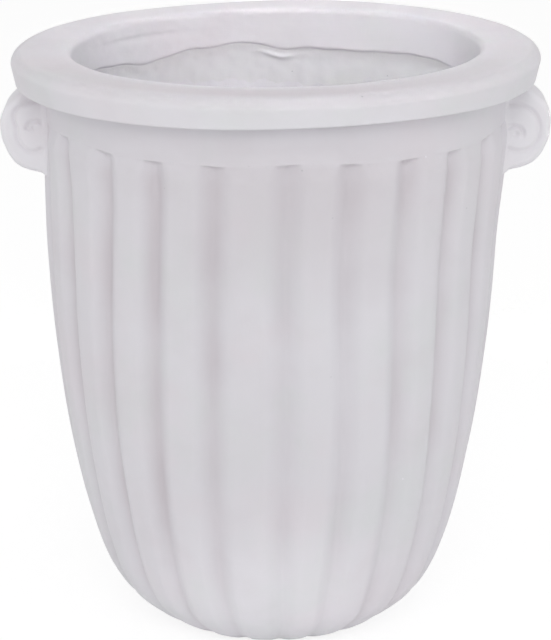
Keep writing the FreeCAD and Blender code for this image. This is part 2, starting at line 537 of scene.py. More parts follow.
    def shade(self, angle: Array, height: Array) -> Array:
        """Where painted shade and darkening lie: shade along the valleys, on the collar and on the flanks;
        darkening under the rim's front and on the belly.

        Args:
            angle: turns from the front, in radians.
            height: heights above the ground.

        Returns:
            Shares from 0 to 1.
        """
        aside = signed(angle)
        from_top = height - self.lobe_top
        below = 1 - ramp(*self.shade_end, from_top)
        nearest, _ = self.nearest_valley(angle, height)
        strength = flowing(np.radians(self.shade_bearings_deg), np.array(self.valley_shades), aside)
        strength = strength * (0.5 + 0.5 * ramp(*self.valley_shade_span, height))
        strength = strength + self.uneven_shade * self.unevenness(nearest, height)
        # Less painted shade in the valleys just under the scoops, which cast their own shadow.
        clear_scoop = 1 - self.scoop_clearing * ramp(*self.scoop_span, from_top)
        valley = self.valley(angle, height) ** 2 * below * clear_scoop * np.maximum(strength, 0)
        front = self.front_darkening.at(aside) * ramp(*self.front_darkening_span, height) * below
        belly = self.belly_darkening.at(aside) * self.belly_band.at(height)
        collar = self.collar_shade.at(aside) * (1 - below)
        collar = collar * (1 - self.collar_fade * ramp(*self.collar_shade_span, height))
        flanks = self.flank_shade * ramp(*self.flank_sides, np.abs(np.sin(angle)))
        flanks = flanks * ramp(*self.flank_shade_span, height) * below
        return np.clip(valley + front + belly + collar + flanks, 0, 1)

    def hollow(self, height: Array) -> Array:
        """The hollow's radius at the heights, from the floor up to the neck."""
        return flowing(np.array(self.hollow_heights_mm) * MM, np.array(self.hollow_radii_mm) * MM, height)

    def outer_heights(self) -> Array:
        """Spaces the outer rows, closest at the foot and the shoulders.

        Returns:
            Their heights, from the foot up.
        """
        shoulder = self.lobe_top - self.shoulder_height - self.row_margin
        collar = self.lobe_top + self.row_margin
        stops = (self.first_row, self.foot_zone, shoulder, collar, self.body_top - self.last_row)
        return stepped(stops, self.outer_steps)

    def inner_heights(self) -> Array:
        """The inner rows' heights from the mouth down, closest behind the bedding's bead."""
        stops = (self.body_top - self.mouth_edge, *self.bead_zone, self.floor_height + self.last_row)
        return stepped(stops, self.inner_steps)

    def profile_rows(self) -> list[tuple[Array, float]]:
        """Goes along the shell's profile from the drain hole out, up, in and down again.

        Returns:
            The rows as (radius or radii, height).
        """
        angle = self.angles()
        rows = [(radius * MM, height * MM) for radius, height in self.foot_outline_mm]
        edge = self.outer(angle, np.zeros_like(angle))
        rows.append((0.5 * (rows[-1][0] + edge), 0.0))
        rows.append((edge - self.foot_edge, 0.0))
        for height in self.outer_heights():
            rows.append((self.outer(angle, np.full_like(angle, height)), height))
        rows.append((self.collar_radius - self.collar_edge, self.body_top))
        rows.append((self.neck_radius + self.mouth_edge, self.body_top))
        for height in self.inner_heights():
            rows.append((self.neck_radius if height > self.neck_foot else self.hollow(height), height))
        for radius in self.floor_radii_mm:
            rows.append((radius * MM, self.floor_height))
        for out, down in self.drain_edge_mm:
            rows.append((self.drain_radius + out * MM, self.floor_height - down * MM))
        return rows

    def sway(self, height: Array, radius: Array) -> Array:
        """How far the hand-cast shell stands off its axis along X.

        Args:
            height: heights above the ground.
            radius: distances from the axis.

        Returns:
            The offsets, none at the drain hole.
        """
        rising = self.lean * ramp(*self.lean_span, height)
        rising = rising + (self.collar_shift - self.lean) * ramp(*self.shift_span, height)
        return rising * ramp(*self.upright_core, radius)

    def build(self) -> bpy.types.Object:
        """Makes the body's mesh.

        Returns:
            The body, with its share of painted shade at each point.
        """
        angle = self.angles()
        profile = self.profile_rows()
        radii = stacked([radius for radius, _ in profile], angle)
        heights = np.array([height for _, height in profile])[:, None]
        inner_rows = len(self.inner_heights()) + len(self.floor_radii_mm) + len(self.drain_edge_mm)
        inside = np.arange(len(profile))[:, None] >= len(profile) - inner_rows
        rough = inside * (1 - ramp(*self.rough_top, heights)) * ramp(*self.rough_floor, radii)
        above_floor = ramp(0, self.foot_zone, heights - self.floor_height)
        rough = rough * (self.floor_calm + (1 - self.floor_calm) * above_floor)
        radii = radii - rough * self.inside_lumps.at(radii, angle, heights)
        points = round_axis(radii, angle, heights)
        points[..., 0] += self.sway(heights, radii)
        at_ear = (np.abs(points[..., 1]) < self.landing_half_width) & (points[..., 2] > self.landing_foot)
        cut_flat = np.clip(points[..., 0], -self.landing, self.landing)
        points[..., 0] = np.where(at_ear & ~inside, cut_flat, points[..., 0])
        piece = skinned("lobed_body", points, poles=False)
        # Painted shade on the outside only.
        paint_shade(piece, np.where(inside, 0.0, self.shade(angle, heights)))
        return piece


@dataclass
class RimRing:
    """The broad coping ring with its rounded edges and its ragged inner skirt."""

    shift: float = 2.0 * MM
    rim_radius: float = 220.0 * MM
    mouth_radius: float = 170.0 * MM
    skirt_back: float = 176.0 * MM
    top: float = 500.0 * MM
    underside: float = 474.0 * MM
    underside_radii_mm: tuple = (205, 190, 180)
    band_taper: float = 3.4 * MM
    edge_round: float = 9.0 * MM
    mouth_round: float = 5.0 * MM
    lower_round: float = 1.6 * MM
    skirt_depth: float = 36.5 * MM
    skirt_lumps: Lumps = Lumps(0.45 * MM, size=13 * MM, seed=6.2)
    skirt_bumps_mm: tuple[Bump, ...] = (
        Bump(3.2, -57, 9), Bump(6.5, -42, 10), Bump(-4, -10, 6), Bump(3.5, 2, 5.5), Bump(2, 28, 9),
        Bump(-2, 45, 9), Bump(2.5, 75, 12))
    back_shares: tuple = (0.35, 0.7, 0.92)
    skirt_turn: float = 2.0 * MM
    face_shares: tuple = (0.06, 0.94, 16)
    scar: Bump = Bump(1.1 * MM, -42, 14)
    scar_band: Bump = Bump(1, 481 * MM, 3 * MM)
    flat_shares: tuple = (0.15, 0.35, 0.55, 0.75, 0.9)
    band_shares: tuple = (0.25, 0.5, 0.75)
    left_drop: float = 4.2 * MM
    drop_power: float = 2.2
    back_dip: Bump = Bump(1.6 * MM, -20, 22)
    front_lift: Bump = Bump(2.2 * MM, 20, 32)
    upper_span: tuple = (480 * MM, 492 * MM)
    outer_span: tuple = (192 * MM, 206 * MM)
    # Painted shade on the back of the skirt inside the mouth and on the flat top, most at the front and
    # back, and less towards the rounded outer edge.
    skirt_shade: Bump = Bump(0.4, 180, 70)
    skirt_face: tuple = (171 * MM, 174 * MM)
    flat_start: tuple = (176 * MM, 184 * MM)
    flat_level: tuple = (488 * MM, 495 * MM)
    flat_end: tuple = (200 * MM, 214 * MM)
    end_fade: float = 0.6
    top_shade: float = 0.18
    fore_and_aft_shade: float = 0.17
    front_darkening: Bump = Bump(0.5, 0, 50)
    columns: int = 384
    wave: HandWork = HandWork(0.35 * MM, seed=8)
    top_wave: HandWork = HandWork(0.3 * MM, seed=3)

    def skirt_foot(self, angle: Array) -> Array:
        """The height of the skirt's ragged lower edge.

        Args:
            angle: turns from the front, in radians.

        Returns:
            The heights.
        """
        drop = 0.5 * np.sin(7 * angle + 0.4) + 0.7 * np.sin(13 * angle + 2) + 0.4 * np.sin(31 * angle)
        for bump in self.skirt_bumps_mm:
            drop += bump.at(from_back(angle))
        return self.top - self.skirt_depth - drop * MM

    def skirt_rows(self, angle: Array) -> list[tuple[Array, Array]]:
        """The skirt's rows as (radii, heights), down its back, round its ragged foot and up its face.

        Args:
            angle: the columns' angles from the front.

        Returns:
            The rows in order.
        """
        foot = self.skirt_foot(angle)
        rows = [(self.skirt_back, self.underside)]
        for share in self.back_shares:
            height = self.underside + (foot + self.skirt_turn - self.underside) * share
            rows.append((self.skirt_back, height))
        half = 0.5 * (self.skirt_back - self.mouth_radius)
        for radius, lift in arc((self.mouth_radius + half, half), half, 360, 180, 8):
            rows.append((radius, foot + lift))
        start = foot + half
        end = self.top - self.mouth_round
        for share in np.linspace(*self.face_shares):
            height = start + (end - start) * share
            rough = self.skirt_lumps.at(self.mouth_radius, angle, height)
            scar = self.scar.at(from_back(angle)) * self.scar_band.at(height)
            rows.append((self.mouth_radius + math.sin(math.pi * share) ** 0.5 * (rough + scar), height))
        return rows

    def outline(self) -> list[tuple[float, float]]:
        """Goes along the ring's outline from the mouth over the top and down to the underside.

        Returns:
            The points as (radius, height).
        """
        flat_start = self.mouth_radius + self.mouth_round
        flat_end = self.rim_radius - self.edge_round
        band_top = self.top - self.edge_round
        lower = (self.rim_radius - self.band_taper, self.underside + self.lower_round)
        outline = arc((flat_start, self.top - self.mouth_round), self.mouth_round, 180, 90, 6)
        for share in self.flat_shares:
            outline.append((flat_start + (flat_end - flat_start) * share, self.top))
        outline += arc((flat_end, band_top), self.edge_round, 90, 0, 12)
        for share in self.band_shares:
            height = band_top + (lower[1] - band_top) * share
            outline.append((self.rim_radius - self.band_taper * share, height))
        outline += arc((lower[0] - self.lower_round, lower[1]), self.lower_round, 0, -90, 5)
        return outline + [(radius * MM, self.underside) for radius in self.underside_radii_mm]

    def settled(self, angle: Array, radii: Array, heights: Array) -> Array:
        """The heights of the ring as it was bedded by hand: low at the left, dipped behind, raised in front.

        Args:
            angle: the columns' angles from the front.
            radii: distances from the axis.
            heights: heights of a level ring.

        Returns:
            The settled heights.
        """
        upper = ramp(*self.upper_span, heights)
        outer = ramp(*self.outer_span, radii)
        tilt = -self.left_drop * (0.5 - 0.5 * np.sin(angle)) ** self.drop_power
        tilt -= self.back_dip.at(from_back(angle))
        lift = self.front_lift.at(from_front(angle)) * outer * (1 - upper)
        heights = heights + tilt * np.maximum(upper, outer) + lift
        return heights - upper * np.abs(self.top_wave.at(angle, radii))

    def shade(self, angle: Array, radii: Array, heights: Array) -> Array:
        """Where painted shade and darkening lie: on the skirt's back and on the flat top, most at the front.

        Args:
            angle: the columns' angles from the front.
            radii: distances from the axis.
            heights: heights above the ground.

        Returns:
            Shares from 0 to 1.
        """
        aside = from_front(angle)
        skirt = self.skirt_shade.at(np.abs(aside)) * (1 - ramp(*self.skirt_face, radii))
        flat = ramp(*self.flat_start, radii) * ramp(*self.flat_level, heights)
        flat = flat * (1 - self.end_fade * ramp(*self.flat_end, radii))
        around = self.top_shade + self.fore_and_aft_shade * np.cos(angle) ** 2 + self.front_darkening.at(aside)
        return skirt + flat * around

    def build(self) -> bpy.types.Object:
        """Makes the ring's mesh.

        Returns:
            The rim, with its share of painted shade at each point.
        """
        angle = once_round(self.columns)
        rows = self.skirt_rows(angle) + self.outline()
        radii = stacked([radius for radius, _ in rows], angle)
        heights = stacked([height for _, height in rows], angle)
        radii = radii + self.wave.at(angle, heights) - self.wave.amount
        heights = self.settled(angle, radii, heights)
        points = round_axis(radii, angle, heights)
        points[..., 0] += self.shift
        piece = skinned("rim_coping", points, poles=False)
        paint_shade(piece, self.shade(angle, radii, heights))
        return piece


@dataclass
class RimBed:
    """The bedding under the rim and behind its skirt, squeezed out as a rough bead inside."""

    ring_radius: float = 190.4 * MM
    leg_outer: float = 178.3 * MM
    leg_inner: float = 176.3 * MM
    nose: float = 171.3 * MM
    wall_bite: float = 2.4 * MM
    ledge_reach: float = 4.2 * MM
    top: float = 474.0 * MM
    bottom: float = 472.0 * MM
    bead_height: float = 44.0 * MM
    bead_power: float = 0.85
    drops: tuple = (0.9, 0.8, 0.7, 0.6, 0.52, 0.45, 0.38, 0.32, 0.27, 0.22, 0.18, 0.15, 0.12, 0.09, 0.06,
                    0.03)
    ledge_around: Bump = Bump(1, 1, 5)
    ledge_down: Bump = Bump(1, 0.13, 0.05)
    lip_mm: tuple = ((0, 0.4), (0.6, 1.6))
    leg_rise: float = 4.0 * MM
    lump_radius: float = 175.0 * MM
    edge_lumps: Lumps = Lumps(0.5 * MM, size=14 * MM, seed=2.1)
    sag_lumps: Lumps = Lumps(4 * MM, size=22 * MM, seed=7.7)
    bead_lumps: Lumps = Lumps(1.7 * MM, size=12 * MM, seed=4.4)
    # Painted shadow just under the skirt's ragged edge, fading down the bead; the foot tone darkens the bead
    # towards its foot to the stone's tone.
    edge_shadow: float = 0.5
    shadow_reach: float = 0.2
    foot_tone: float = 0.4
    columns: int = 384

    def build(self, rim: RimRing) -> bpy.types.Object:
        """Makes the bedding's mesh.

        Args:
            rim: the ring that the bedding holds.

        Returns:
            The bedding, with its share of grey wash at each point.
        """
        angle = once_round(self.columns)
        foot = rim.skirt_foot(angle)
        ragged = self.edge_lumps.at(self.lump_radius, angle, foot)
        sag = self.bead_height + self.sag_lumps.at(self.lump_radius, angle, foot)
        bead_foot = self.leg_outer + self.wall_bite
        rows = [(self.leg_inner, self.top), (self.ring_radius, self.top), (self.ring_radius, self.bottom),
                (self.leg_outer, self.bottom), (bead_foot, foot - sag)]
        shade_and_tone = [0.0] * len(rows)
        for drop in self.drops:
            height = foot - drop * sag
            inner = self.nose + (bead_foot - self.nose) * drop ** self.bead_power
            rough = self.bead_lumps.at(self.lump_radius, angle, height)
            ledge = self.ledge_around.at(from_back(angle)) * self.ledge_down.at(drop)
            rows.append((inner + rough * min(1.0, 6 * drop) - self.ledge_reach * ledge, height))
            # Painted shadow under the edge and darker tone towards the foot, both left off the small ledge
            # so that it stays bright.
            wash = self.edge_shadow * bell(drop, 0, self.shadow_reach) + self.foot_tone * drop
            shade_and_tone.append(wash * (1 - ledge))
        for out, up in self.lip_mm:
            rows.append((self.nose + out * MM + ragged, foot + up * MM))
        rows.append((self.leg_inner, foot + self.leg_rise))
        shade_and_tone += [self.edge_shadow] * (len(self.lip_mm) + 1)
        points = np.stack([round_axis(radius, angle, height) for radius, height in rows])
        points[..., 0] += rim.shift
        piece = skinned("rim_bedding", points, poles=False)
        paint_shade(piece, stacked(shade_and_tone, angle))
        return piece


@dataclass
class ScrollEar:
    """One scroll ear: a thick volute with a spiral groove round its eye on both faces."""

    side: Side
    outline_mm: tuple
    groove_mm: tuple
    eye_inward: float
    eye_lift: float
    eye_offset: float = 205.0 * MM
    eye_height: float = 430.0 * MM
    half_depth: float = 26.0 * MM
    root: float = 15.5 * MM
    heel: float = 6.0 * MM
    rise: float = 44.2 * MM
    edge_round: float = 5.5 * MM
    groove_depth: float = 2.3 * MM
    groove_width: float = 1.9 * MM
    # Painted shade in the spiral groove and the eye.
    groove_shade: float = 0.2
    groove_lead: float = 0.5
    groove_fade: float = 0.5
    groove_dip: Bump = Bump(0.35, 2.2, 1)
    groove_end: float = 2.6 * math.pi
    groove_deg: tuple = (-30, 0, 45, 90, 135, 180, 225, 270, 315, 360, 470)
    eye_depth: float = 2.2 * MM
    eye_width: float = 2.2 * MM
    columns: int = 180
    face_rings: int = 40
    first_ring: float = 0.02
    ring_power: float = 1.25
    wall_steps: int = 9
    curve_end_deg: float = 119.0
    heel_span_deg: tuple = (-98, -112)
    worn_span_deg: tuple = (125, 95)
    outline_deg: tuple = (-120, -112, -106, -90, -65, -50, -25, 0, 25, 45, 60, 75, 90, 105, 120)
    plain_span: tuple = (-7.5 * MM, -2.5 * MM)
    root_bite: float = 3.5 * MM
    bite_length: float = 4.0 * MM
    root_flare: float = 3.0 * MM
    flare_start: float = 7.0 * MM

    def outline(self, angle: Array) -> Array:
        """The ear's outline as distances from its eye.

        Args:
            angle: turns from straight outwards towards straight up, from -pi to pi.

        Returns:
            The distances.
        """
        curve = flowing(np.radians(self.outline_deg), np.array(self.outline_mm) * MM, angle)
        curve = np.where(np.abs(angle) > np.radians(self.curve_end_deg), 1.0, curve)
        inward = np.maximum(-np.cos(angle), 1e-6)
        upward = np.maximum(np.sin(angle), 1e-6)
        root = self.root + self.heel * ramp(*np.radians(self.heel_span_deg), angle)
        return np.minimum(np.minimum(curve, root / inward), self.rise / upward)

    def carving(self, distance: Array, angle: Array) -> Array:
        """How deep the spiral groove and the eye are cut at each place of the face.

        Args:
            distance: distances from the ear's middle.
            angle: turns from straight outwards towards straight up.

        Returns:
            The depths.
        """
        aside = distance * np.cos(angle) + self.eye_inward
        above = distance * np.sin(angle) - self.eye_lift
        from_eye = np.hypot(aside, above)
        sunk = self.eye_depth * bell(from_eye, 0, self.eye_width)
        from_top = np.mod(np.arctan2(aside, above) + self.groove_lead, TURN) - self.groove_lead
        inward = -distance * np.cos(angle)
        plain_root = 1 - ramp(*self.plain_span, inward - self.root)
        for lap in (0, 1):
            turned = from_top + lap * TURN
            middle = flowing(np.radians(self.groove_deg), np.array(self.groove_mm) * MM, turned)
            off = (from_eye - middle) / self.groove_width
            ending = ramp(self.groove_end + self.groove_fade, self.groove_end - self.groove_fade, turned)
            fade = ending * (1 - self.groove_dip.at(turned))
            sunk = sunk + self.groove_depth * fade * plain_root * np.exp(-off * off)
        return sunk

    def worn_edge(self, distance: Array, angle: Array, reach: Array) -> Array:
        """How far the face falls away at its rounded outer edge.

        Args:
            distance: distances from the ear's middle.
            angle: turns from straight outwards towards straight up.
            reach: the outline's distance in that direction.

        Returns:
            The depths.
        """
        edge = np.clip(self.edge_round - (reach - distance), 0, self.edge_round)
        outer = ramp(*np.radians(self.worn_span_deg), np.abs(angle))
        return outer * (self.edge_round - np.sqrt(self.edge_round ** 2 - edge ** 2))

    def build(self) -> bpy.types.Object:
        """Makes the ear's mesh.

        Returns:
            The ear, with its share of painted shade in its groove and eye at each point.
        """
        angle = -np.pi + once_round(self.columns)
        reach = self.outline(angle)
        shares = 1 - (1 - np.linspace(self.first_ring, 1, self.face_rings)) ** self.ring_power
        distance = shares[:, None] * reach
        turned = np.broadcast_to(angle, distance.shape)
        carving = self.carving(distance, turned)
        inward = -distance * np.cos(angle)
        flare = np.clip((inward - self.flare_start) / (self.root - self.flare_start), 0, 1)
        bite = self.root_bite * ramp(self.root - self.bite_length, self.root, inward)
        depth = self.half_depth - carving - self.worn_edge(distance, turned, reach)
        depth += self.root_flare * flare ** 2
        out = self.side.value * (self.eye_offset - inward - bite)
        up = self.eye_height + distance * np.sin(angle)
        front = np.stack([out, -depth, up], axis=-1)
        back = np.stack([out, depth, up], axis=-1)[::-1]
        across = np.arange(1, self.wall_steps) / self.wall_steps
        walls = [front[-1] + (back[0] - front[-1]) * share for share in across]
        rows = np.concatenate([front, np.stack(walls), back])
        piece = skinned(f"{self.side.name.lower()}_scroll_ear", rows, poles=True)
        # Painted shade, deepest where the groove and the eye are cut deepest.
        wash = self.groove_shade * np.clip(carving / self.groove_depth, 0, 1) ** 0.5
        bare_walls = np.zeros(len(walls) * self.columns)
        tips = wash[0, :2]
        paint_shade(piece, np.concatenate([wash.ravel(), bare_walls, wash[::-1].ravel(), tips]))
        return piece


def ears() -> list[ScrollEar]:
    """Describes the two ears, each cut by hand with its own outline and groove.

    Returns:
        The left ear and the right ear.
    """
    left = ScrollEar(
        Side.LEFT, eye_inward=2.4 * MM, eye_lift=4.4 * MM, eye_offset=202.0 * MM, eye_height=428.6 * MM,
        outline_mm=(54, 42, 35.3, 31.8, 28.5, 26, 23.7, 24.2, 26.8, 29.2, 31, 34.2, 46, 52, 60),
        groove_mm=(25.0, 23.0, 19.5, 12.5, 15.5, 19.5, 18.0, 12.0, 8.5, 6.0, 4.0))
    right = ScrollEar(
        Side.RIGHT, eye_inward=3.0 * MM, eye_lift=-1.9 * MM, eye_offset=205.2 * MM,
        outline_mm=(54, 42, 34.2, 30.8, 28, 26.2, 24.3, 24.6, 27.5, 31.4, 33.2, 35.6, 46, 52, 60),
        groove_mm=(27.0, 25.0, 22.0, 18.0, 16.0, 14.0, 14.0, 12.5, 9.0, 6.5, 4.5))
    return [left, right]


@dataclass
class DrainPlug:
    """The rubber plug: shank in the drain hole, flange on the floor, neck and knob above."""

    columns: int = 96
    shank_mm: tuple = ((13.7, 12), (13.7, 14), (13.2, 14.6), (13.2, 17), (13.7, 17.6), (13.7, 24),
                       (13.7, 27.9), (14.2, 28.1), (17, 28.1), (19.6, 28.1))
    knob_top_mm: tuple = ((6.6, 43.9), (5.5, 44.6), (4, 44.9), (2, 45))

    def outline_mm(self) -> list[tuple[float, float]]:
        """Goes along the plug's outline from its foot up to its knob.

        Returns:
            The points as (radius, height) in millimetres.
        """
        outline = [(3, 7), (8, 7), (12.2, 7)] + arc((12.2, 8.5), 1.5, -90, 0, 4)
        outline += list(self.shank_mm) + arc((19.6, 29.5), 1.4, -90, 45, 5)
        outline += [(18, 31.6), (14, 32.4), (9.5, 32.9)] + arc((8, 35.4), 2.5, 270, 180, 5)
        outline += [(5.5, 37.5)] + arc((7.2, 41), 1.8, 200, 260, 3) + arc((7, 41), 2, -60, 60, 8)
        return outline + list(self.knob_top_mm)

    def build(self) -> bpy.types.Object:
        """Makes the plug's mesh.

        Returns:
            The plug.
        """
        angle = once_round(self.columns)
        rows = [round_axis(radius * MM, angle, height * MM) for radius, height in self.outline_mm()]
        return skinned("rubber_plug", np.stack(rows), poles=True)


class Graph:
    """Adds nodes and links to a node tree in few words."""

    def __init__(self, tree: bpy.types.NodeTree) -> None:
        """Keeps the tree."""
        self.tree = tree

    def add(self, kind: str, settings: dict | None = None, **inputs: object) -> bpy.types.Node:
        """Adds a node.

        Args:
            kind: the node's type.
            settings: properties to set on it.
            inputs: values or output sockets for its inputs, by name with _ for a space.

        Returns:
            The node.
        """
        node = self.tree.nodes.new(kind)
        for name, value in (settings or {}).items():
            setattr(node, name, value)
        self.fill(node, **inputs)
        return node

    def fill(self, node: bpy.types.Node, **inputs: object) -> None:
        """Feeds a node's inputs by name, with _ for a space."""
        for name, value in inputs.items():
            self.feed(node.inputs[name.replace("_", " ")], value)

    def feed(self, socket: bpy.types.NodeSocket, value: object) -> None:
        """Links an output to a socket, or sets the socket's value.

        Args:
            socket: the input to feed.
            value: an output socket or a plain value.
        """
        if isinstance(value, bpy.types.NodeSocket):
            self.tree.links.new(value, socket)
        else:
            socket.default_value = value

    def blend(self, share: object, first: object, second: object, way: str = "MIX") -> bpy.types.NodeSocket:
        """Mixes two colours.

        Args:
            share: how much of the second, as a value or a socket.
            first: the first colour.
            second: the second colour.
            way: the mixing rule.

        Returns:
            The mixed colour's socket.
        """
        node = self.add("ShaderNodeMix", {"data_type": "RGBA", "blend_type": way})
        for index, value in ((0, share), (6, first), (7, second)):
            self.feed(node.inputs[index], value)
        return node.outputs[2]

    def maths(self, way: str, first: object, second: object = 0.0) -> bpy.types.NodeSocket:
        """Works out one sum on two values or sockets.

        Args:
            way: the sum's name.
            first: the first value.
            second: the second value.

        Returns:
            The result's socket.
        """
        node = self.add("ShaderNodeMath", {"operation": way})
        self.feed(node.inputs[0], first)
        self.feed(node.inputs[1], second)
        return node.outputs[0]

    def between(self, value: object, low: object, high: object, start: float,
                end: float) -> bpy.types.NodeSocket:
        """Eases a value from one span to another, held at the ends."""
        node = self.add("ShaderNodeMapRange", {"interpolation_type": "SMOOTHSTEP"}, Value=value,
                        From_Min=low, From_Max=high, To_Min=start, To_Max=end)
        return node.outputs[0]

    def noise(self, place: object, scale: object, detail: float, roughness: float) -> bpy.types.NodeSocket:
        """Adds a noise pattern and gives its value."""
        node = self.add("ShaderNodeTexNoise", Vector=place, Scale=scale, Detail=detail, Roughness=roughness)
        return node.outputs[0]


def new_group(name: str, inputs: dict[str, Socket],
              outputs: dict[str, Socket]) -> tuple[Graph, dict, bpy.types.Node]:
    """Starts a shader node group.

    Args:
        name: the group's name.
        inputs: socket types by name.
        outputs: socket types by name.

    Returns:
        The graph, the group's own inputs by name, and the node that takes its outputs.
    """
    tree = bpy.data.node_groups.new(name, "ShaderNodeTree")
    for label, kind in inputs.items():
        tree.interface.new_socket(label, in_out="INPUT", socket_type=kind.value)
    for label, kind in outputs.items():
        tree.interface.new_socket(label, in_out="OUTPUT", socket_type=kind.value)
    graph = Graph(tree)
    source = graph.add("NodeGroupInput")
    return graph, {label: source.outputs[label] for label in inputs}, graph.add("NodeGroupOutput")


def mottle_group() -> bpy.types.NodeTree:
    """Builds the soft clouding of a cast surface: broad warm and cool patches over a base colour, darkened
    by small stains and by the painted shade stored on the mesh.

    Returns:
        The group, with a Color output.
    """
    graph, given, result = new_group(
        "cast_mottle", {"Base": Socket.COLOUR, "Warm": Socket.COLOUR, "Cool": Socket.COLOUR,
                        "Wash": Socket.COLOUR, "Patch Scale": Socket.VALUE, "Amount": Socket.VALUE},
        {"Color": Socket.COLOUR})
    # The mesh's painted shade, which darkens the colour where shade falls.
    wash = graph.add("ShaderNodeAttribute", {"attribute_name": PAINTED_SHADE}).outputs["Fac"]
    place = graph.add("ShaderNodeTexCoord").outputs["Object"]
    shift = graph.add("ShaderNodeVectorMath", {"operation": "ADD"})
    graph.feed(shift.inputs[0], place)
    shift.inputs[1].default_value = (3.1, 7.7, 1.9)
    broad = graph.noise(place, given["Patch Scale"], detail=4.0, roughness=0.55)
    other = graph.noise(shift.outputs[0], given["Patch Scale"], detail=5.0, roughness=0.6)
    closer = graph.maths("MULTIPLY", given["Patch Scale"], 1.7)
    fine = graph.noise(shift.outputs[0], closer, detail=3.0, roughness=0.5)
    warm = graph.maths("MULTIPLY", graph.between(broad, 0.45, 0.7, 0.0, 1.0), given["Amount"])
    cool = graph.maths("MULTIPLY", graph.between(other, 0.45, 0.7, 0.0, 1.0), given["Amount"])
    stain = graph.maths("MULTIPLY", graph.between(fine, 0.45, 0.75, 0.0, 0.24), given["Amount"])
    colour = graph.blend(warm, given["Base"], given["Warm"])
    colour = graph.blend(cool, colour, given["Cool"])
    # Painted shade and small stains darken the colour towards the darker tone.
    graph.fill(result, Color=graph.blend(graph.maths("ADD", wash, stain), colour, given["Wash"]))
    return graph.tree


def grain_group() -> bpy.types.NodeTree:
    """Builds the fine skin of a cast surface: grain, scattered pits and pale flecks.

    Returns:
        The group, with Height, Pits and Flecks outputs.
    """
    graph, given, result = new_group(
        "cast_grain", dict.fromkeys(("Grain Scale", "Pit Scale", "Pit Size", "Pit Share"), Socket.VALUE),
        dict.fromkeys(("Height", "Pits", "Flecks"), Socket.VALUE))
    place = graph.add("ShaderNodeTexCoord").outputs["Object"]
    grain = graph.noise(place, given["Grain Scale"], detail=6.0, roughness=0.6)
    cells = graph.add("ShaderNodeTexVoronoi", Vector=place, Scale=given["Pit Scale"])
    rim = graph.maths("MULTIPLY", given["Pit Size"], 0.4)
    inside = graph.between(cells.outputs["Distance"], rim, given["Pit Size"], 1.0, 0.0)
    draw = graph.add("ShaderNodeSeparateColor", Color=cells.outputs["Color"])
    chosen = graph.maths("LESS_THAN", draw.outputs[0], given["Pit Share"])
    pale = graph.maths("LESS_THAN", draw.outputs[1], graph.maths("MULTIPLY", given["Pit Share"], 0.5))
    pits = graph.maths("MULTIPLY", inside, chosen)
    flecks = graph.maths("MULTIPLY", inside, graph.maths("SUBTRACT", pale, chosen))
    height = graph.maths("SUBTRACT", grain, graph.maths("MULTIPLY", pits, 2.0))
    graph.fill(result, Height=height, Pits=pits, Flecks=flecks)
    return graph.tree


def toned(colour: Colour, share: float) -> Colour:
    """A darker or lighter tone of a colour, up to white."""
    return tuple(min(1.0, share * channel) for channel in colour[:3]) + (1.0,)


def new_material(name: str) -> tuple[bpy.types.Material, Graph, bpy.types.Node]:
    """Starts a material.

    Args:
        name: the material's name.

    Returns:
        The material, its graph and its shader.
    """
    material = bpy.data.materials.new(name)
    material.use_nodes = True
    return material, Graph(material.node_tree), material.node_tree.nodes["Principled BSDF"]


@dataclass(frozen=True)
class CastFinish:
    """A cast mineral finish with clouding, grain, pits and flecks."""

    name: str
    base: Colour
    warm: Colour
    cool: Colour
    # The darker tone that painted shade and stains mix towards, as shares of the base colour.
    shade_and_stain_shares: tuple[float, float, float] = (0.834, 0.802, 0.804)
    patch_scale: float = 11.0
    amount: float = 0.7
    grain_scale: float = 420.0
    pit_scale: float = 46.0
    pit_size: float = 0.05
    pit_share: float = 0.2
    pit_tone: float = 0.72
    fleck_tone: float = 1.12
    roughness: float = 0.55
    roughness_spread: float = 0.1
    specular: float = 0.3
    bump: float = 0.12
    bump_height: float = 0.8 * MM

    def build(self, mottle: bpy.types.NodeTree, grain: bpy.types.NodeTree) -> bpy.types.Material:
        """Makes the material.

        Args:
            mottle: the clouding group.
            grain: the grain group.

        Returns:
            The material.
        """
        material, graph, shader = new_material(self.name)
        # The darker tone for painted shade and stains.
        shade_and_stain_tone = tuple(channel * share for channel, share in zip(self.base, self.shade_and_stain_shares)) + (1.0,)
        clouds = graph.add("ShaderNodeGroup", {"node_tree": mottle}, Base=self.base, Warm=self.warm,
                           Cool=self.cool, Wash=shade_and_stain_tone, Patch_Scale=self.patch_scale, Amount=self.amount)
        skin = graph.add("ShaderNodeGroup", {"node_tree": grain}, Grain_Scale=self.grain_scale,
                         Pit_Scale=self.pit_scale, Pit_Size=self.pit_size, Pit_Share=self.pit_share)
        colour = graph.blend(skin.outputs["Pits"], clouds.outputs["Color"], toned(self.base, self.pit_tone))
        colour = graph.blend(skin.outputs["Flecks"], colour, toned(self.base, self.fleck_tone))
        rough = graph.between(skin.outputs["Height"], 0.2, 0.8, self.roughness - self.roughness_spread,
                              self.roughness + self.roughness_spread)
        bump = graph.add("ShaderNodeBump", Strength=self.bump, Distance=self.bump_height,
                         Height=skin.outputs["Height"])
        graph.fill(shader, Base_Color=colour, Roughness=rough, Normal=bump.outputs[0],
                   Specular_IOR_Level=self.specular)
        return material


